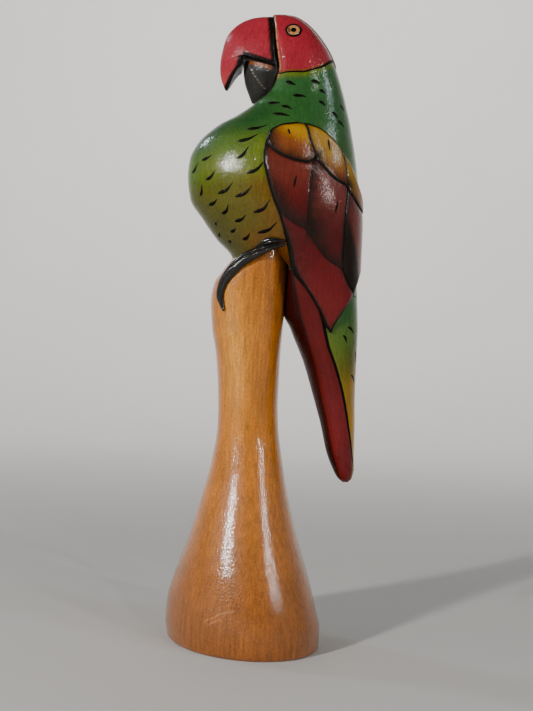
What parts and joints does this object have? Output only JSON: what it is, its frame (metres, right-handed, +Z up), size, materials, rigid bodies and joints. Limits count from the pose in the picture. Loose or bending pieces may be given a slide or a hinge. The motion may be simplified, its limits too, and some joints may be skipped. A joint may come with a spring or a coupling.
{
  "type": "figural wooden rattle",
  "caption": "Hand-held wooden rattle carved as a perched parrot on a flared post, with loose seeds sealed in the bird.",
  "frame": {"origin": "middle of the flat foot, on the surface it stands on", "axes": "+Z up the post, -X the way the bird faces, -Y the bird's left side"},
  "size_m": [0.0872, 0.0728, 0.3011],
  "materials": {
    "post_wood": "amber stain under gloss varnish",
    "body_paint": "green and yellow stain, hot-pen feather marks, gloss varnish",
    "beak_red": "red paint under gloss varnish",
    "beak_black": "black paint under gloss varnish",
    "wing_paint": "crimson, orange and yellow stain, burnt feather edges, gloss varnish",
    "tail_paint": "red sides, green to yellow back, gloss varnish",
    "claw_black": "burnt black under gloss varnish",
    "eye_paint": "tan disc with a burnt ring and pupil, gloss varnish",
    "seed": "dry seed, plain"
  },
  "bodies": {
    "rattle": {"handle_post": "post_wood", "bird_body": "body_paint", "upper_beak": "beak_red", "lower_beak": "beak_black", "wing_left": "wing_paint", "wing_right": "wing_paint", "tail": "tail_paint", "foot_left": "claw_black", "foot_right": "claw_black", "eye_left": "eye_paint", "eye_right": "eye_paint"},
    "seed_01": {"seed_01": "seed"},
    "seed_02": {"seed_02": "seed"},
    "seed_03": {"seed_03": "seed"},
    "seed_04": {"seed_04": "seed"},
    "seed_05": {"seed_05": "seed"},
    "seed_06": {"seed_06": "seed"},
    "seed_07": {"seed_07": "seed"},
    "seed_08": {"seed_08": "seed"},
    "seed_09": {"seed_09": "seed"},
    "seed_10": {"seed_10": "seed"},
    "seed_11": {"seed_11": "seed"},
    "seed_12": {"seed_12": "seed"}
  },
  "joints": [
    {"name": "seed_01_bounce", "type": "slide", "parent": "rattle", "child": "seed_01", "axis": [0, 0, 1], "range_m": [0, 0.032]},
    {"name": "seed_02_bounce", "type": "slide", "parent": "rattle", "child": "seed_02", "axis": [0, 0, 1], "range_m": [0, 0.032]},
    {"name": "seed_03_bounce", "type": "slide", "parent": "rattle", "child": "seed_03", "axis": [0, 0, 1], "range_m": [0, 0.032]},
    {"name": "seed_04_bounce", "type": "slide", "parent": "rattle", "child": "seed_04", "axis": [0, 0, 1], "range_m": [0, 0.032]},
    {"name": "seed_05_bounce", "type": "slide", "parent": "rattle", "child": "seed_05", "axis": [0, 0, 1], "range_m": [0, 0.032]},
    {"name": "seed_06_bounce", "type": "slide", "parent": "rattle", "child": "seed_06", "axis": [0, 0, 1], "range_m": [0, 0.032]},
    {"name": "seed_07_bounce", "type": "slide", "parent": "rattle", "child": "seed_07", "axis": [0, 0, 1], "range_m": [0, 0.032]},
    {"name": "seed_08_bounce", "type": "slide", "parent": "rattle", "child": "seed_08", "axis": [0, 0, 1], "range_m": [0, 0.032]},
    {"name": "seed_09_bounce", "type": "slide", "parent": "rattle", "child": "seed_09", "axis": [0, 0, 1], "range_m": [0, 0.032]},
    {"name": "seed_10_bounce", "type": "slide", "parent": "rattle", "child": "seed_10", "axis": [0, 0, 1], "range_m": [0, 0.032]},
    {"name": "seed_11_bounce", "type": "slide", "parent": "rattle", "child": "seed_11", "axis": [0, 0, 1], "range_m": [0, 0.032]},
    {"name": "seed_12_bounce", "type": "slide", "parent": "rattle", "child": "seed_12", "axis": [0, 0, 1], "range_m": [0, 0.032]}
  ]
}
